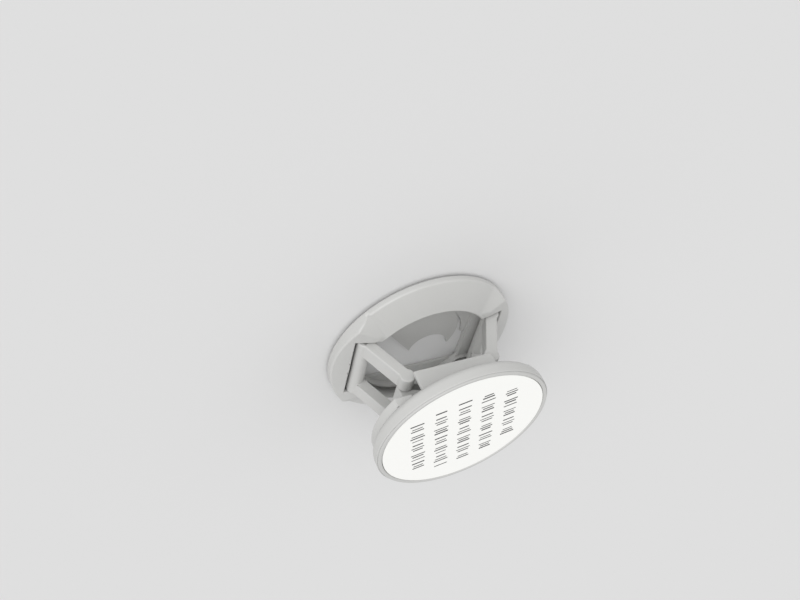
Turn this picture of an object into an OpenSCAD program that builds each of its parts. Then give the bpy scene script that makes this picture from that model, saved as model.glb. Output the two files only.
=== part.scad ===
// Folding stick-on grip: a rear disc, two hinged arms and a front disc that pulls out.
// Millimetres. The origin is the centre of the adhesive face and +Z points away from it.
// The hinge pins run along Y. The grip is drawn open, as it is held.

/* [Rear disc] */
// Radius of the rear disc
rear_r = 20; // [19.6:0.1:20.6]
// Height of the upright rim above the adhesive pad
rim_h = 1.4; // [1:0.1:1.6]
// Height of the sloping top above the rim
slope_h = 2.8; // [2.4:0.1:3]
// Width of the ring around the round opening
ring_w = 6.2; // [5.8:0.1:6.3]
// Width of the groove between an arm's barrel and the rim
groove_w = 0.6; // [0.4:0.1:0.8]
// Half length of the raised shoulders beside the grooves
shoulder_half = 9.2; // [9.1:0.1:9.8]
// Height of the barrels above the shoulders
shoulder_step = 0.6; // [0.5:0.05:0.65]
// Depth of the pockets in the plate under the barrels
pocket_depth = 0.7; // [0.6:0.05:0.8]

/* [Adhesive pad] */
// Thickness of the foam pad
pad_t = 0.6; // [0.4:0.05:0.8]
// Width of the rear disc's edge that the pad leaves bare
pad_step = 1.2; // [0.8:0.1:1.8]
// Radius of the window's round side
window_r = 10; // [9.6:0.1:10.6]
// Distance from the centre to the window's straight side
window_far = 9.2; // [8.6:0.1:9.6]
// Radius of the finger notch in the pad's tongue
notch_r = 4.4; // [3.8:0.1:4.6]

/* [Base plate] */
// Thickness of the plate that closes the rear disc
plate_t = 1.4; // [1:0.1:1.6]
// Width of the plate beyond the round opening
plate_rim = 3.8; // [3.2:0.1:4]
// Half width of the well in the plate
well_half_x = 11; // [10.95:0.05:11.3]

/* [Hinges] */
// Radius of the steel pins
pin_r = 0.65; // [0.55:0.05:0.65]
// Length of pin that is held at each end of a barrel
pin_grip = 0.8; // [0.6:0.1:0.9]
// Running clearance around a pin
pin_clear = 0.05; // [0.03:0.01:0.08]
// Clearance around a pin where it is held
press_gap = 0.02; // [0.01:0.01:0.03]
// Distance from the rear disc's edge to the rear pins
hinge_inset = 5.9; // [5.8:0.05:6]
// Radius of the arms' rear barrels
barrel_r = 1.6; // [1.5:0.05:1.7]
// Gap between the barrels and the floor of their pockets
barrel_gap = 0.2; // [0.15:0.05:0.3]
// Gap between moving plastic parts
side_gap = 0.3; // [0.2:0.05:0.4]

/* [Arms] */
// Width of an arm along its pins
arm_w = 16; // [15.6:0.1:16.4]
// Width of each of an arm's two bars
bar_w = 3.4; // [3.2:0.1:3.8]
// Thickness of the bars
bar_t = 2.4; // [2.1:0.1:2.5]
// Radius of the round ends that hold the front pins
eye_r = 1.6; // [1.5:0.05:1.7]
// Angle between an open arm and the rear disc
open_angle = 64; // [62:0.5:65]
// Height that the front pins gain on the front disc as it is pushed in
pin_rise = 0.6; // [0.3:0.1:0.7]

/* [Front disc] */
// Radius of the front disc
front_r = 18.3; // [17.6:0.1:19]
// Thickness of the front disc
front_t = 3.5; // [3.3:0.1:3.8]
// Radius of its rounded rear edge
rim_round = 1.7; // [1.2:0.1:1.9]
// Height of the front edge above the front pins
face_above_pin = 10.5; // [10.4:0.1:11]
// Width of the border around the face plate
border_w = 1.15; // [0.9:0.05:1.4]
// Radius of the two rounded ends of the hub block
block_end_r = 1.45; // [1.35:0.05:1.5]
// Half thickness of the post between the folded arms
post_half_x = 1.2; // [1:0.1:1.4]
// Half length of the hub's two outer walls, across the pins
hub_half_x = 8.5; // [8:0.1:8.8]
// Thickness of the hub's outer walls
hub_wall = 1; // [0.9:0.1:1.4]
// Height of the outer walls' free edge above the front pins
hub_rise = 0.3; // [0.2:0.1:1.6]
// Height of the two skirts behind the disc
skirt_h = 1.9; // [1.5:0.1:2]
// Width of the skirts
skirt_w = 2.9; // [2.4:0.1:3]
// Distance from the skirts to the disc's edge
skirt_inset = 0.9; // [0.8:0.1:1.2]
// Half length of the skirts along the pins
skirt_half_y = 9.5; // [9:0.1:10]

/* [Face] */
// Thickness of the face plate
face_t = 0.7; // [0.6:0.05:0.8]
// Thickness of the tape behind the face plate
tape_t = 0.2; // [0.1:0.05:0.25]
// Depth of the face plate below the border
face_lip = 0.1; // [0.05:0.05:0.15]
// Gap around the face plate
face_gap = 0.1; // [0.05:0.05:0.15]

/* [Hidden] */
$fn = 96;

plastic_colour = [0.80, 0.80, 0.79];

// Heights and radii of the rear disc, from the centre of the adhesive face
opening_r = rear_r - ring_w;
floor_z = pad_t + plate_t;
rim_z = pad_t + rim_h;
top_z = rim_z + slope_h;
plate_r = opening_r + plate_rim;
plate_gap = 0.1;
plate_hole_r = opening_r - 0.4;

// Places of the pins, for the arm on the +X side
hinge_x = rear_r - hinge_inset;
hinge_z = floor_z - pocket_depth + barrel_gap + barrel_r;
arm_len = hinge_x - post_half_x - eye_r - side_gap;
front_x = hinge_x - arm_len * cos(open_angle);
front_z = hinge_z + arm_len * sin(open_angle);
travel = arm_len * sin(open_angle) + pin_rise;
running_r = pin_r + pin_clear;
held_r = pin_r + press_gap;

// The front pins lie in a recess at -Y and end short of a closed end at +Y. The rear pins
// lie in channels that are open to the base plate.
pin_recess = 0.2;
pin_end_gap = 0.05;
pocket_half = arm_w / 2 + side_gap;
channel_end = pocket_half + pin_grip;
front_bore_end = arm_w / 2 - 0.8;
past = 1;

// Heights of the front disc
face_z = front_z + face_above_pin;
back_z = face_z - front_t;
recess_z = face_z - face_lip - face_t - tape_t;
face_r = front_r - border_w;
front_bevel = 0.3;

// The hub block stands between the arms' bars, the post between the folded arms and the
// outer walls beyond the arms' ends
block_half = arm_w / 2 - bar_w - side_gap;
hub_inner = arm_w / 2 + side_gap + 0.1;

// The shoulders fall gently outwards, and slope down into the ring at their two ends
shoulder_fall = 0.245;
shoulder_ramp = 6.3;
shoulder_z = hinge_z + barrel_r - shoulder_step;
shoulder_top = top_z - 0.35;

// Outline of the adhesive pad's tongue
tongue_centre = window_r * [-0.02, 0.18];
tongue_r = 0.9 * window_r;
flank_point = window_r * [-0.82, 0.57];
notch_centre = window_r * [0.3, -0.34];
tooth_y = -0.29 * window_r;

// Path of the left front pin in the front disc's own frame, at a share s of the
// way in. The arm turns at a steady rate while the disc moves straight down.
slot_steps = 24;
cap_steps = 24;
function fold_angle(s) = open_angle * (1 - s);
function fold_point(s) = [-hinge_x + arm_len * cos(fold_angle(s)),
    hinge_z + arm_len * sin(fold_angle(s)) + travel * s];
function fold_slope(s) = let (turn = open_angle * PI / 180 * arm_len)
    [turn * sin(fold_angle(s)), travel - turn * cos(fold_angle(s))];
function slot_side(s, w) = let (d = fold_slope(s)) fold_point(s) + w / norm(d) * [d[1], -d[0]];
function slot_cap(s, start) = let (d = fold_slope(s), heading = atan2(d[1], d[0]) + start)
    [for (i = [1:cap_steps - 1]) let (a = heading + 180 * i / cap_steps)
        fold_point(s) + running_r * [cos(a), sin(a)]];
function is_on_edge(p) = running_r - 0.004 <
    min([for (i = [0:2 * slot_steps]) norm(p - fold_point(i / (2 * slot_steps)))]);

// Extrudes an outline drawn in X and Z along Y, from y0 to y1.
module along_y(y0, y1) {
    translate([0, y1, 0]) rotate([90, 0, 0]) linear_extrude(y1 - y0) children();
}

// Draws its children and their mirror image across X.
module both_sides() {
    children();
    mirror([1, 0, 0]) children();
}

// Tongue that reaches into the pad's window, with a round notch for a finger.
module pad_tongue() {
    difference() {
        intersection() {
            translate(tongue_centre) circle(r = tongue_r);
            polygon([flank_point, [notch_centre[0] - notch_r, tooth_y], [window_r, tooth_y],
                [window_r, window_r + 2], [flank_point[0], window_r + 2]]);
        }
        translate(notch_centre) circle(r = notch_r);
    }
}

module pad_window() {
    difference() {
        union() {
            intersection() {
                circle(r = window_r);
                translate([-window_r, 0]) square([2 * window_r, window_r]);
            }
            translate([-well_half_x, -window_far]) square([2 * well_half_x, window_far]);
        }
        pad_tongue();
    }
}

// Foam pad that sticks the grip on.
module adhesive_pad() {
    color([0.74, 0.74, 0.73]) linear_extrude(pad_t) difference() {
        circle(r = rear_r - pad_step);
        pad_window();
    }
}

// Pocket for the right arm's barrel and bars, cut into the shell and the plate.
module arm_pocket() {
    inner_x = opening_r / 2;
    translate([inner_x, -pocket_half, floor_z - pocket_depth])
        cube([hinge_x + barrel_r + groove_w - inner_x, 2 * pocket_half, top_z]);
}

// Small rest that stands on the plate and keeps one end of a rear pin in its channel.
module pin_rest() {
    rest_z = floor_z - 0.2;
    translate([hinge_x - pin_r, pocket_half + 0.1, rest_z])
        cube([2 * pin_r, pin_grip - 0.2, hinge_z - held_r - rest_z]);
}

// Flat plate that closes the rear disc, with a well for the folded hub.
module base_plate() {
    color(plastic_colour) difference() {
        union() {
            translate([0, 0, pad_t]) cylinder(r = plate_r, h = plate_t);
            both_sides() {
                pin_rest();
                mirror([0, 1, 0]) pin_rest();
            }
        }
        translate([0, 0, pad_t - past]) linear_extrude(plate_t + 2 * past) intersection() {
            circle(r = plate_hole_r);
            square([2 * well_half_x, 2 * plate_hole_r], center = true);
        }
        both_sides() arm_pocket();
    }
}

// Raised shoulder of the ring beside the right groove, level with the barrel's outer side.
module shoulder() {
    low_z = rim_z - 0.5;
    end_y = shoulder_half + shoulder_ramp;
    intersection() {
        difference() {
            cylinder(r = rear_r, h = shoulder_top);
            translate([0, 0, -past]) cylinder(r = opening_r, h = top_z + 2 * past);
        }
        along_y(-end_y, end_y) polygon([[0, floor_z], [rear_r, floor_z],
            [rear_r, shoulder_z - shoulder_fall * hinge_inset],
            [0, shoulder_z + shoulder_fall * hinge_x]]);
        rotate([90, 0, 90]) linear_extrude(rear_r) polygon([[-end_y, low_z], [end_y, low_z],
            [shoulder_half, top_z], [-shoulder_half, top_z]]);
    }
}

// Sloping ring with a pocket for each arm, and channels for the ends of the rear pins.
module rear_shell() {
    color(plastic_colour) difference() {
        union() {
            rotate_extrude() polygon([[opening_r, floor_z], [opening_r, top_z],
                [rear_r, rim_z], [rear_r, pad_t], [plate_r + plate_gap, pad_t],
                [plate_r + plate_gap, floor_z]]);
            both_sides() shoulder();
        }
        both_sides() {
            arm_pocket();
            along_y(-channel_end, channel_end) translate([hinge_x, hinge_z]) {
                circle(r = held_r);
                translate([-held_r, -hinge_z]) square([2 * held_r, hinge_z]);
            }
        }
    }
}

module rear_pin(side) {
    pin_half = channel_end - pin_end_gap;
    color("silver") along_y(-pin_half, pin_half)
        translate([side * hinge_x, hinge_z]) circle(r = pin_r);
}

module bar_outline() {
    translate([-hinge_x, hinge_z]) {
        circle(r = barrel_r);
        rotate(open_angle) translate([0, -bar_t / 2]) square([arm_len, bar_t]);
    }
    translate([-front_x, front_z]) circle(r = eye_r);
}

// Left arm: one barrel around the rear pin and two bars that hold the front pin.
module left_arm() {
    bar_y = block_half + side_gap;
    color(plastic_colour) difference() {
        union() {
            along_y(-arm_w / 2, arm_w / 2) translate([-hinge_x, hinge_z]) circle(r = barrel_r);
            along_y(bar_y, arm_w / 2) bar_outline();
            along_y(-arm_w / 2, -bar_y) bar_outline();
        }
        along_y(-arm_w, arm_w) translate([-hinge_x, hinge_z]) circle(r = running_r);
        along_y(-arm_w, front_bore_end) translate([-front_x, front_z]) circle(r = held_r);
    }
}

module right_arm() {
    mirror([1, 0, 0]) left_arm();
}

module front_pin(side) {
    color("silver") along_y(-arm_w / 2 + pin_recess, front_bore_end - pin_end_gap)
        translate([side * front_x, front_z]) circle(r = pin_r);
}

// Section of the round disc: a rounded rear edge and a small bevel at the front.
module disc_outline() {
    inner = front_r - rim_round;
    translate([0, back_z]) square([inner, front_t]);
    translate([inner, back_z + rim_round]) circle(r = rim_round);
    translate([0, back_z + rim_round]) square([front_r, front_t - rim_round - front_bevel]);
    translate([0, back_z + rim_round]) square([front_r - front_bevel, front_t - rim_round]);
}

// Hub block that hangs from the disc, with a round end at each front pin.
module block_outline() {
    top_h = back_z + past - front_z;
    for (side = [-1, 1])
        translate([side * front_x, front_z]) circle(r = block_end_r);
    translate([-front_x, front_z - block_end_r]) square([2 * front_x, block_end_r]);
    translate([-front_x - block_end_r, front_z])
        square([2 * (front_x + block_end_r), top_h]);
}

// Curved slot that the left front pin moves along as the grip folds. Points that the pin
// sweeps over near the sharp bend at the slot's end are left out.
module slot_outline() {
    shares = [for (i = [0:slot_steps]) i / slot_steps];
    points = concat([for (s = shares) slot_side(s, running_r)], slot_cap(1, -90),
        [for (s = shares) slot_side(1 - s, -running_r)], slot_cap(0, 90));
    polygon([for (p = points) if (is_on_edge(p)) p]);
}

// Curved skirts behind the disc, one over each rear hinge.
module skirts() {
    skirt_r = front_r - skirt_inset;
    intersection() {
        translate([0, 0, back_z - skirt_h]) difference() {
            cylinder(r = skirt_r, h = skirt_h + rim_round);
            translate([0, 0, -past]) cylinder(r = skirt_r - skirt_w, h = skirt_h + front_t);
        }
        translate([-front_r, -skirt_half_y, 0]) cube([2 * front_r, 2 * skirt_half_y, face_z]);
    }
}

// Outer wall of the hub, beyond one end of both arms.
module hub_side() {
    translate([-hub_half_x, hub_inner, front_z + hub_rise])
        cube([2 * hub_half_x, hub_wall, back_z + past - front_z - hub_rise]);
}

// Front disc with its hub and skirts, moulded in one piece.
module front_disc() {
    color(plastic_colour) difference() {
        union() {
            rotate_extrude() disc_outline();
            along_y(-block_half, block_half) block_outline();
            translate([-post_half_x, -hub_inner - hub_wall / 2, front_z])
                cube([2 * post_half_x, 2 * hub_inner + hub_wall, back_z + past - front_z]);
            hub_side();
            mirror([0, 1, 0]) hub_side();
            skirts();
        }
        translate([0, 0, recess_z]) cylinder(r = face_r + face_gap, h = front_t);
        both_sides() along_y(-block_half - past, block_half + past) slot_outline();
    }
}

module face_tape() {
    color("lightgray") translate([0, 0, recess_z]) cylinder(r = face_r - 0.5, h = tape_t);
}

// Printed plate that is stuck into the front disc.
module face_plate() {
    color("white") translate([0, 0, recess_z + tape_t]) cylinder(r = face_r, h = face_t);
}

adhesive_pad();
base_plate();
rear_shell();
rear_pin(-1);  // rear_pin_left
rear_pin(1);  // rear_pin_right
left_arm();
right_arm();
front_pin(-1);  // front_pin_left
front_pin(1);  // front_pin_right
front_disc();
face_tape();
face_plate();
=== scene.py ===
"""Looks of a folding stick-on grip: a rear disc, two hinged arms and a front disc with a face plate.

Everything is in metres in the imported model's frame: the pad's face is at Z = 0, the front disc
is above it and the hinge pins run along Y.
"""

import math

import bmesh
import bpy
import numpy as np
from mathutils import Matrix, Vector


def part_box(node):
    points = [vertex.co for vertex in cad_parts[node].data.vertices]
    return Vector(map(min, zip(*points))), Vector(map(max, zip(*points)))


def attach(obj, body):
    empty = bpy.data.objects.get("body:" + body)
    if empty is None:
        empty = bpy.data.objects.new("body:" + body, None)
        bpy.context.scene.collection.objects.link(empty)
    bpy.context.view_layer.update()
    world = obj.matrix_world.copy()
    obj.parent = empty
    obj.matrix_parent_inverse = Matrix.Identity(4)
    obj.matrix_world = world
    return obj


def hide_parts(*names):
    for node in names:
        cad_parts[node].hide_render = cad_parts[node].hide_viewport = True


bl_info = {
    "name": "Folding grip",
    "version": (1, 0, 0),
    "blender": (4, 5, 0),
    "location": "View3D > Sidebar > Grip",
    "description": "Dresses the packed folding grip with rounded edges, finishes, a face print and a stage",
    "category": "Object",
}

MM = 0.001

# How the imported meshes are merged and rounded
MERGE_DISTANCE = 0.001 * MM
FLAT_ANGLE = math.radians(0.6)
CORNER_ANGLE = math.radians(25)
ROOM_SHARE = 0.45
BEVEL_SEGMENTS = 3
SHADING_WEIGHT = 60

# Where edges stay sharp: around the arms' bores and the rear pins' channels, where the rear shell
# lies on the base plate, and in the band of the front disc's cam slots
BORE_REACH = 1.0 * MM
CHANNEL_REACH = 1.4 * MM
SEAT_MARGIN = 0.3 * MM
SLOT_HALF_HEIGHT = 1.6 * MM
SLOT_HALF_WIDTH = 4.6 * MM
SLOT_NEAR_X = 2.2 * MM
SLOT_FAR_MARGIN = 0.1 * MM

# Steps that spread the printed strokes evenly without a visible repeat, as shares of one turn
PLACE_STEP = 0.618034
LENGTH_STEP = 0.569840
GAP_STEP = 0.754878
GAP_SHARE = 0.14
INK_SINK = 0.005 * MM

FLOOR_HALF = 1.5
FLOOR_DROP = 0.02 * MM
SUN_DIRECTION = Vector((-0.55, 0.66, 0.50))

CAMERA_PLACE = Vector((-80.4, 158.4, 104.8)) * MM
CAMERA_BACK = Vector((-0.383, 0.747, 0.544))
CAMERA_UP = Vector((0.193, 0.640, -0.744))
CAMERA_LENS = 44.66
SENSOR_WIDTH = 36
CLIP_START = 0.005

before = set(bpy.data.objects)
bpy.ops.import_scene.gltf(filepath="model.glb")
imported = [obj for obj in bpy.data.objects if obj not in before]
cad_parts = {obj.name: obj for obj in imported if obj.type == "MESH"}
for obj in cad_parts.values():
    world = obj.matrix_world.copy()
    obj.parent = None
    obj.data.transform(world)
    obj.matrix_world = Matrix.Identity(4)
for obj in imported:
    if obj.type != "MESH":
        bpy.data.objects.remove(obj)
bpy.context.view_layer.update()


def linear(digits):
    """sRGB hex digits as linear red, green, blue and an alpha of 1."""
    srgb = np.array([int(digits[i:i + 2], 16) / 255 for i in (0, 2, 4)])
    low = srgb / 12.92
    high = ((srgb + 0.055) / 1.055) ** 2.4
    return (*np.where(srgb <= 0.04045, low, high).tolist(), 1.0)


def colour_property(name, description, digits):
    """A colour setting whose default is given as sRGB hex digits."""
    return bpy.props.FloatVectorProperty(
        name=name, description=description, subtype="COLOR", size=4, min=0, max=1,
        default=linear(digits),
    )


def length_property(name, description, millimetres):
    """A length setting whose default is given in millimetres."""
    return bpy.props.FloatProperty(
        name=name, description=description, unit="LENGTH", subtype="DISTANCE",
        default=millimetres * MM, precision=5,
    )


# Settings


class GripFinishes(bpy.types.PropertyGroup):
    """Colours of the grip's finishes."""

    plastic: colour_property("Plastic", "Light grey moulded plastic of both discs and the arms", "C2C2C0")
    # The pad's grey is a little darker than the plastic: partly its own colour, partly painted shade for
    # the thin dark gap line round the rear disc's rim
    foam: colour_property("Foam", "Foam of the adhesive pad", "BEBEBC")
    tape: colour_property("Tape", "Tape behind the face plate", "D8D8D4")
    steel: colour_property("Steel", "Wire of the hinge pins", "B8B8B6")
    film: colour_property("Film", "White film on the face plate", "FBFBF8")
    ink: colour_property("Ink", "Strokes printed on the face plate", "3A3A3A")


class GripSizes(bpy.types.PropertyGroup):
    """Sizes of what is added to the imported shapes."""

    disc_edge: length_property("Disc edges", "Rounding of the rear disc's edges", 0.35)
    arm_edge: length_property("Arm edges", "Rounding of the arms' edges", 0.28)
    hub_edge: length_property("Front disc edges", "Rounding of the edges behind the front disc", 0.25)
    plate_edge: length_property("Plate edges", "Rounding of the face plate's edges", 0.08)
    row_pitch: length_property("Row pitch", "Distance between two printed rows", 4.9)
    row_height: length_property("Row height", "Length of a printed stroke across its row", 3.0)
    stroke_pitch: length_property("Stroke pitch", "Mean distance between two printed strokes", 0.95)
    stroke_width: length_property("Stroke width", "Mean width of a printed stroke", 0.34)
    ink_height: length_property("Ink height", "Height of the ink above the film", 0.02)
    row_count: bpy.props.IntProperty(
        name="Rows", description="Number of printed rows", default=5, min=1
    )
    row_fill: bpy.props.FloatProperty(
        name="Row fill", description="Share of the face's width that each row takes up",
        subtype="FACTOR", default=0.68,
    )
    row_turn: bpy.props.FloatProperty(
        name="Row turn", description="Angle of the rows from the hinge pins",
        subtype="ANGLE", default=math.radians(12.7),
    )


class GripStage(bpy.types.PropertyGroup):
    """Floor, backdrop and lights."""

    floor: colour_property("Floor", "Pale floor that the grip stands on", "DFDFDF")
    backdrop: colour_property("Backdrop", "What the camera sees beyond the floor", "F4F4F4")
    sky: bpy.props.FloatProperty(
        name="Sky", description="Strength of the even light from all sides", default=0.76
    )
    sun: bpy.props.FloatProperty(
        name="Sun", description="Strength of the broad lamp, in W/m2", default=1.5
    )
    sun_spread: bpy.props.FloatProperty(
        name="Sun spread", description="How wide the lamp looks from the grip",
        subtype="ANGLE", default=math.radians(60),
    )


# Materials


def add_node(tree, kind, inputs=None, **settings):
    """Adds a node of a kind, sets its own settings, and sets or links its inputs."""
    node = tree.nodes.new(kind)
    for name, value in settings.items():
        setattr(node, name, value)
    for name, value in (inputs or {}).items():
        if isinstance(value, bpy.types.NodeSocket):
            tree.links.new(value, node.inputs[name])
        else:
            node.inputs[name].default_value = value
    return node


def new_material(name):
    """A material with a bare Principled shader; returns it, its node tree and the shader."""
    material = bpy.data.materials.new(name)
    material.use_nodes = True
    tree = material.node_tree
    shader = tree.nodes["Principled BSDF"]
    return material, tree, shader


def per_metre(millimetres):
    """Scale of a texture on Object coordinates whose pattern repeats at that size."""
    return 1 / (millimetres * MM)


def vary_colour(tree, shader, place, colour, size_mm, share):
    """Tints the base colour by a slow noise: the colour times 1 minus share to 1 plus share."""
    noise = add_node(
        tree, "ShaderNodeTexNoise", {"Vector": place, "Scale": per_metre(size_mm), "Detail": 3.0}
    )
    darker = [c * (1 - share) for c in colour[:3]] + [1]
    lighter = [min(1, c * (1 + share)) for c in colour[:3]] + [1]
    mix = add_node(tree, "ShaderNodeMix", {"Factor": noise.outputs["Fac"]}, data_type="RGBA")
    mix.inputs[6].default_value = darker
    mix.inputs[7].default_value = lighter
    tree.links.new(mix.outputs[2], shader.inputs["Base Color"])


def moulded_abs(finishes):
    """ABS, injection moulded in a spark-eroded tool: a fine even grain that spreads highlights,
    slow patches of slightly different gloss, and a faint flow tint."""
    material, tree, shader = new_material("satin_moulded_abs")
    place = add_node(tree, "ShaderNodeTexCoord").outputs["Object"]
    vary_colour(tree, shader, place, finishes.plastic, 7, 0.012)
    patches = add_node(
        tree, "ShaderNodeTexNoise", {"Vector": place, "Scale": per_metre(4), "Detail": 4.0}
    )
    gloss = add_node(
        tree, "ShaderNodeMapRange",
        {
            "Value": patches.outputs["Fac"], "From Min": 0.3, "From Max": 0.7,
            "To Min": 0.36, "To Max": 0.46,
        },
    )
    tree.links.new(gloss.outputs["Result"], shader.inputs["Roughness"])
    grain = add_node(
        tree, "ShaderNodeTexNoise", {"Vector": place, "Scale": per_metre(0.18), "Detail": 2.0}
    )
    bump = add_node(
        tree, "ShaderNodeBump", {"Height": grain.outputs["Fac"], "Strength": 0.12, "Distance": 0.01 * MM}
    )
    tree.links.new(bump.outputs["Normal"], shader.inputs["Normal"])
    shader.inputs["IOR"].default_value = 1.54
    return material


def acrylic_foam(finishes):
    """Closed-cell acrylic foam with an adhesive skin: matt, with small cells that show at its edges."""
    material, tree, shader = new_material("acrylic_foam")
    place = add_node(tree, "ShaderNodeTexCoord").outputs["Object"]
    # The pad's darker grey is partly painted shade: it stands in for the shadow line under the rear disc's
    # rim
    vary_colour(tree, shader, place, finishes.foam, 1.5, 0.03)
    cells = add_node(tree, "ShaderNodeTexVoronoi", {"Vector": place, "Scale": per_metre(0.3)})
    bump = add_node(
        tree, "ShaderNodeBump",
        {"Height": cells.outputs["Distance"], "Strength": 0.3, "Distance": 0.03 * MM},
    )
    tree.links.new(bump.outputs["Normal"], shader.inputs["Normal"])
    shader.inputs["Roughness"].default_value = 0.82
    return material


def drawn_steel(finishes):
    """Bright drawn steel wire: metal with fine scratches along its length, which is Y here."""
    material, tree, shader = new_material("drawn_steel_wire")
    place = add_node(tree, "ShaderNodeTexCoord").outputs["Object"]
    along = add_node(tree, "ShaderNodeMapping", {"Vector": place, "Scale": (1, 0.05, 1)})
    lines = add_node(
        tree, "ShaderNodeTexNoise",
        {"Vector": along.outputs["Vector"], "Scale": per_metre(0.12), "Detail": 3.0},
    )
    gloss = add_node(
        tree, "ShaderNodeMapRange", {"Value": lines.outputs["Fac"], "To Min": 0.22, "To Max": 0.42}
    )
    tree.links.new(gloss.outputs["Result"], shader.inputs["Roughness"])
    vary_colour(tree, shader, place, finishes.steel, 2, 0.04)
    shader.inputs["Metallic"].default_value = 1
    return material


def carrier_tape(finishes):
    """Thin double-sided tape: a pale, slightly fibrous film."""
    material, tree, shader = new_material("double_sided_tape")
    place = add_node(tree, "ShaderNodeTexCoord").outputs["Object"]
    vary_colour(tree, shader, place, finishes.tape, 0.8, 0.03)
    shader.inputs["Roughness"].default_value = 0.6
    return material


def printed_film(finishes):
    """White polyester film over a flat plate: smooth and semi-gloss, with a slight orange peel."""
    material, tree, shader = new_material("white_printed_film")
    place = add_node(tree, "ShaderNodeTexCoord").outputs["Object"]
    vary_colour(tree, shader, place, finishes.film, 9, 0.004)
    peel = add_node(
        tree, "ShaderNodeTexNoise", {"Vector": place, "Scale": per_metre(1.2), "Detail": 2.0}
    )
    bump = add_node(
        tree, "ShaderNodeBump", {"Height": peel.outputs["Fac"], "Strength": 0.08, "Distance": 0.01 * MM}
    )
    tree.links.new(bump.outputs["Normal"], shader.inputs["Normal"])
    shader.inputs["Roughness"].default_value = 0.3
    shader.inputs["IOR"].default_value = 1.5
    return material


def dark_ink(finishes):
    """Screen-printed ink: a thin dark layer, a little uneven in cover."""
    material, tree, shader = new_material("dark_printing_ink")
    place = add_node(tree, "ShaderNodeTexCoord").outputs["Object"]
    vary_colour(tree, shader, place, finishes.ink, 0.5, 0.15)
    shader.inputs["Roughness"].default_value = 0.45
    return material


def material_for(name, maker):
    """The material of that name, made once."""
    return bpy.data.materials.get(name) or maker(bpy.context.scene.grip_finishes)


def paint(piece, material):
    """Gives a piece one material."""
    piece.data.materials.clear()
    piece.data.materials.append(material)


# Shapes


def pin_axes():
    """Places in X and Z of the four pins' axes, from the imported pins."""
    corners = [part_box(n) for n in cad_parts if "_pin_" in n]
    return [((low.x + high.x) / 2, (low.z + high.z) / 2) for low, high in corners]


def near_pins(points, reach):
    """True for each point that lies within reach of a pin's axis, seen along Y."""
    gaps = [np.hypot(points[:, 0] - x, points[:, 2] - z) for x, z in pin_axes()]
    return np.min(gaps, axis=0) < reach


def under_shell(points):
    """True for each point of the rear shell that lies on the base plate or in a pin's channel."""
    low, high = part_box("base_plate")
    below_top = points[:, 2] < high.z - SEAT_MARGIN
    over_plate = np.hypot(points[:, 0], points[:, 1]) < high.x + SEAT_MARGIN
    return near_pins(points, CHANNEL_REACH) | (below_top & over_plate)


def in_cam_slot(points):
    """True for each point of the front disc that lies in the band that its two cam slots take up."""
    low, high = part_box("front_pin_right")
    across, along, above = np.abs(points - (0, 0, high.z)).T
    beside_post = (across > SLOT_NEAR_X) & (across < high.x + SLOT_FAR_MARGIN)
    return beside_post & (along < SLOT_HALF_WIDTH) & (above < SLOT_HALF_HEIGHT)


def room_beside(edge):
    """Length of the shortest edge that meets this one at an outward corner of a face beside it.

    An inward corner is left out, because there the rounding takes no room from the other edge.
    """
    along = (edge.verts[1].co - edge.verts[0].co).normalized()
    room = math.inf
    for loop in edge.link_loops:
        after = loop.link_loop_next
        for corner, other in ((loop, loop.link_loop_prev.edge), (after, after.edge)):
            across = (other.verts[1].co - other.verts[0].co).normalized()
            if corner.is_convex and abs(along.dot(across)) < math.cos(CORNER_ANGLE):
                room = min(room, other.calc_length())
    return room


def rounded_copy(node, name, body, material, width, left_sharp=None, narrow=False):
    """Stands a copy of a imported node, with rounded edges, in the node's place.

    The copy's triangles are merged and its flat faces joined, each edge where two faces meet at
    more than 25 degrees is marked, and a Bevel modifier rounds the marked edges with an arc of
    the given width. left_sharp tells which points belong to bores that keep their edges. A
    narrow node has faces less than two widths across, so there the width is at most a share of
    the room beside the edge.
    """
    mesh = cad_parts[node].data.copy()
    mesh.name = name
    shape = bmesh.new()
    shape.from_mesh(mesh)
    bmesh.ops.remove_doubles(shape, verts=shape.verts, dist=MERGE_DISTANCE)
    bmesh.ops.dissolve_limit(
        shape, angle_limit=FLAT_ANGLE, verts=shape.verts, edges=shape.edges, delimit={"NORMAL"}
    )
    shape.verts.ensure_lookup_table()
    points = np.array([v.co for v in shape.verts])
    sharp = left_sharp(points) if left_sharp else np.zeros(len(points), bool)
    weight = shape.edges.layers.float.new("bevel_weight_edge")
    for edge in shape.edges:
        bends = len(edge.link_faces) == 2 and edge.calc_face_angle() > CORNER_ANGLE
        bore = sharp[edge.verts[0].index] and sharp[edge.verts[1].index]
        share = min(1.0, ROOM_SHARE * room_beside(edge) / width) if narrow else 1.0
        edge[weight] = share if bends and not bore else 0.0
    for face in shape.faces:
        face.smooth = True
    shape.to_mesh(mesh)
    shape.free()
    piece = bpy.data.objects.new(name, mesh)
    bpy.context.scene.collection.objects.link(piece)
    mesh.set_sharp_from_angle(angle=CORNER_ANGLE)
    bevel = piece.modifiers.new("rounded edges", "BEVEL")
    bevel.width = width
    bevel.segments = BEVEL_SEGMENTS
    bevel.limit_method = "WEIGHT"
    bevel.use_clamp_overlap = False
    bevel.harden_normals = False
    normals = piece.modifiers.new("even shading", "WEIGHTED_NORMAL")
    normals.keep_sharp = False
    normals.weight = SHADING_WEIGHT
    paint(piece, material)
    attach(piece, body)
    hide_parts(node)
    return piece


def dress(node, material):
    """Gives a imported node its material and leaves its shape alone."""
    paint(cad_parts[node], material)


def spread(numbers, step):
    """Shares from 0 to 1, one for each number: what is left of number times step over whole turns."""
    return np.modf(numbers * step)[0]


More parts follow.
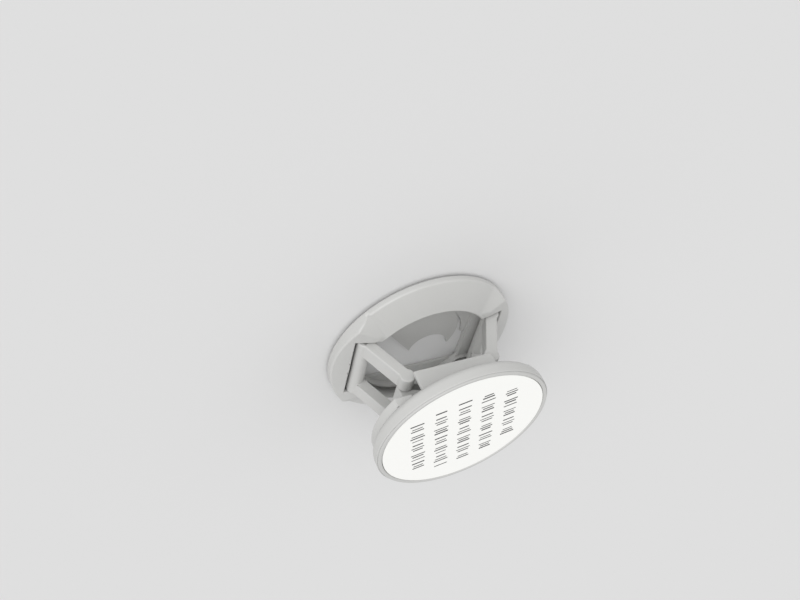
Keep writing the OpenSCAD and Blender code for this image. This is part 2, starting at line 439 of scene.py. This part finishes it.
def stroke_boxes(centres, halves, turn, base_z, height):
    """Mesh data of many thin upright boxes, as whole arrays.

    Each box has eight corners at its centre plus or minus its half sizes, turned by an angle
    about Z, and six faces that point outwards.
    """
    signs = np.array([[-1, -1], [1, -1], [1, 1], [-1, 1]])
    flat = centres[:, None, :] + halves[:, None, :] * signs[None, :, :]
    cos, sin = math.cos(turn), math.sin(turn)
    turned = flat @ np.array([[cos, sin], [-sin, cos]])
    low = np.dstack([turned, np.full(turned.shape[:2], base_z)])
    high = np.dstack([turned, np.full(turned.shape[:2], base_z + height)])
    points = np.concatenate([low, high], axis=1).reshape(-1, 3)
    faces = np.array(
        [[3, 2, 1, 0], [4, 5, 6, 7], [0, 1, 5, 4], [1, 2, 6, 5], [2, 3, 7, 6], [3, 0, 4, 7]]
    )
    quads = (np.arange(len(centres))[:, None, None] * 8 + faces[None]).reshape(-1, 4)
    return points, quads


# Pieces


class GRIP_OT_rear_disc(bpy.types.Operator):
    """Rear shell with rounded edges, and the base plate"""

    bl_idname = "grip.rear_disc"
    bl_label = "Rear disc"

    def execute(self, context):
        sizes = context.scene.grip_sizes
        plastic = material_for("satin_moulded_abs", moulded_abs)
        rounded_copy(
            "rear_shell", "rear_shell_rounded", "base", plastic, sizes.disc_edge,
            under_shell,
        )
        dress("base_plate", plastic)
        return {"FINISHED"}


class GRIP_OT_pad(bpy.types.Operator):
    """Foam pad under the rear disc"""

    bl_idname = "grip.pad"
    bl_label = "Adhesive pad"

    def execute(self, context):
        dress("adhesive_pad", material_for("acrylic_foam", acrylic_foam))
        return {"FINISHED"}


class GRIP_OT_arms(bpy.types.Operator):
    """Two hinged arms, with rounded edges"""

    bl_idname = "grip.arms"
    bl_label = "Arms"

    def execute(self, context):
        plastic = material_for("satin_moulded_abs", moulded_abs)
        for side in ("left", "right"):
            rounded_copy(
                f"{side}_arm", f"{side}_arm_rounded", f"{side}_arm", plastic,
                context.scene.grip_sizes.arm_edge, lambda points: near_pins(points, BORE_REACH),
                narrow=True,
            )
        return {"FINISHED"}


class GRIP_OT_pins(bpy.types.Operator):
    """Four hinge pins of steel wire"""

    bl_idname = "grip.pins"
    bl_label = "Hinge pins"

    def execute(self, context):
        steel = material_for("drawn_steel_wire", drawn_steel)
        for place in ("rear", "front"):
            for side in ("left", "right"):
                dress(f"{place}_pin_{side}", steel)
        return {"FINISHED"}


class GRIP_OT_front_disc(bpy.types.Operator):
    """Front disc with its hub block and skirts, with rounded edges"""

    bl_idname = "grip.front_disc"
    bl_label = "Front disc"

    def execute(self, context):
        plastic = material_for("satin_moulded_abs", moulded_abs)
        rounded_copy(
            "front_disc", "front_disc_rounded", "front", plastic,
            context.scene.grip_sizes.hub_edge, in_cam_slot, narrow=True,
        )
        return {"FINISHED"}


class GRIP_OT_face(bpy.types.Operator):
    """Face plate with its film, and the tape behind it"""

    bl_idname = "grip.face"
    bl_label = "Face plate"

    def execute(self, context):
        film = material_for("white_printed_film", printed_film)
        rounded_copy(
            "face_plate", "face_plate_rounded", "front", film,
            context.scene.grip_sizes.plate_edge,
        )
        dress("face_tape", material_for("double_sided_tape", carrier_tape))
        return {"FINISHED"}


class GRIP_OT_print(bpy.types.Operator):
    """Rows of plain printed strokes on the face plate"""

    bl_idname = "grip.print"
    bl_label = "Face print"

    def execute(self, context):
        sizes = context.scene.grip_sizes
        low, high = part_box("face_plate")
        radius = (high.x - low.x) / 2
        rows = []
        for row in range(sizes.row_count):
            across = (row - (sizes.row_count - 1) / 2) * sizes.row_pitch
            half_row = math.sqrt(radius ** 2 - across ** 2) * sizes.row_fill
            count = int(2 * half_row / sizes.stroke_pitch)
            order = np.arange(count)
            drift = spread(order + 7 * row, PLACE_STEP)
            along = (order + 0.3 + 0.4 * drift) * sizes.stroke_pitch - half_row
            kept = spread(order + 3 * row, GAP_STEP) > GAP_SHARE
            length = sizes.row_height * (0.62 + 0.38 * spread(order + 5 * row, LENGTH_STEP))
            width = sizes.stroke_width * (0.7 + 0.6 * drift)
            table = np.column_stack([np.full(count, across), along, length / 2, width / 2])
            rows.append(table[kept])
        strokes = np.vstack(rows)
        points, quads = stroke_boxes(
            strokes[:, :2], strokes[:, 2:], sizes.row_turn, high.z - INK_SINK, sizes.ink_height
        )
        mesh = bpy.data.meshes.new("face_print")
        mesh.from_pydata(points.tolist(), [], quads.tolist())
        piece = bpy.data.objects.new("face_print", mesh)
        context.scene.collection.objects.link(piece)
        paint(piece, material_for("dark_printing_ink", dark_ink))
        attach(piece, "front")
        return {"FINISHED"}


class GRIP_OT_stage(bpy.types.Operator):
    """Floor, lights and camera"""

    bl_idname = "grip.stage"
    bl_label = "Stage"

    def execute(self, context):
        scene = context.scene
        stage = scene.grip_stage
        make_floor(stage)
        make_sky(scene, stage)
        make_sun(stage, SUN_DIRECTION)
        make_camera(scene)
        scene.view_settings.view_transform = "Standard"
        return {"FINISHED"}


def make_floor(stage):
    """A square floor, just under the pad, in a plain pale colour."""
    corners = [
        (x * FLOOR_HALF, y * FLOOR_HALF, -FLOOR_DROP) for x, y in ((-1, -1), (1, -1), (1, 1), (-1, 1))
    ]
    mesh = bpy.data.meshes.new("floor")
    mesh.from_pydata(corners, [], [(0, 1, 2, 3)])
    floor = bpy.data.objects.new("floor", mesh)
    bpy.context.scene.collection.objects.link(floor)
    material, _, shader = new_material("pale_floor")
    shader.inputs["Base Color"].default_value = stage.floor
    shader.inputs["Roughness"].default_value = 0.9
    shader.inputs["Specular IOR Level"].default_value = 0.1
    paint(floor, material)


def make_sky(scene, stage):
    """Even light from all sides; the camera sees the pale backdrop instead."""
    world = bpy.data.worlds.new("studio")
    world.use_nodes = True
    tree = world.node_tree
    tree.nodes.clear()
    path = add_node(tree, "ShaderNodeLightPath")
    light = add_node(tree, "ShaderNodeBackground", {"Color": (1, 1, 1, 1), "Strength": stage.sky})
    seen = add_node(tree, "ShaderNodeBackground", {"Color": tuple(stage.backdrop), "Strength": 1.0})
    mix = add_node(tree, "ShaderNodeMixShader", {"Fac": path.outputs["Is Camera Ray"]})
    tree.links.new(light.outputs["Background"], mix.inputs[1])
    tree.links.new(seen.outputs["Background"], mix.inputs[2])
    add_node(tree, "ShaderNodeOutputWorld", {"Surface": mix.outputs["Shader"]})
    scene.world = world


def make_sun(stage, direction):
    """A broad lamp whose light comes from one direction everywhere, so the floor stays even."""
    sun = bpy.data.lights.new("sun", "SUN")
    sun.energy = stage.sun
    sun.angle = stage.sun_spread
    holder = bpy.data.objects.new("sun", sun)
    holder.rotation_euler = direction.to_track_quat("Z", "Y").to_euler()
    holder.location = direction
    bpy.context.scene.collection.objects.link(holder)


def make_camera(scene):
    """Camera at the photograph's viewing angle, fitted to the outlines of the two discs."""
    back = CAMERA_BACK.normalized()
    right = CAMERA_UP.cross(back).normalized()
    up = back.cross(right)
    data = bpy.data.cameras.new("camera")
    data.sensor_width = SENSOR_WIDTH
    data.lens = CAMERA_LENS
    data.clip_start = CLIP_START
    camera = bpy.data.objects.new("camera", data)
    turn = Matrix((right, up, back)).transposed().to_4x4()
    camera.matrix_world = Matrix.Translation(CAMERA_PLACE) @ turn
    scene.collection.objects.link(camera)
    scene.camera = camera


class GRIP_PT_panel(bpy.types.Panel):
    """Settings and steps of the grip"""

    bl_idname = "GRIP_PT_panel"
    bl_label = "Folding grip"
    bl_space_type = "VIEW_3D"
    bl_region_type = "UI"
    bl_category = "Grip"

    def draw(self, context):
        for group in (context.scene.grip_finishes, context.scene.grip_sizes, context.scene.grip_stage):
            box = self.layout.box()
            for name in group.bl_rna.properties.keys():
                if name not in ("rna_type", "name"):
                    box.prop(group, name)
        for step in STEPS:
            self.layout.operator(step.bl_idname)


STEPS = (
    GRIP_OT_rear_disc,
    GRIP_OT_pad,
    GRIP_OT_arms,
    GRIP_OT_pins,
    GRIP_OT_front_disc,
    GRIP_OT_face,
    GRIP_OT_print,
    GRIP_OT_stage,
)
GROUPS = (GripFinishes, GripSizes, GripStage)


def register():
    """Registers the classes and hangs the settings on the scene."""
    for item in (*GROUPS, *STEPS, GRIP_PT_panel):
        bpy.utils.register_class(item)
    bpy.types.Scene.grip_finishes = bpy.props.PointerProperty(type=GripFinishes)
    bpy.types.Scene.grip_sizes = bpy.props.PointerProperty(type=GripSizes)
    bpy.types.Scene.grip_stage = bpy.props.PointerProperty(type=GripStage)


def unregister():
    """Takes the settings and classes away again."""
    del bpy.types.Scene.grip_stage
    del bpy.types.Scene.grip_sizes
    del bpy.types.Scene.grip_finishes
    for item in reversed((*GROUPS, *STEPS, GRIP_PT_panel)):
        bpy.utils.unregister_class(item)


def main():
    """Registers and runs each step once."""
    register()
    for step in STEPS:
        group, name = step.bl_idname.split(".")
        getattr(getattr(bpy.ops, group), name)()


if __name__ == "__main__":
    main()
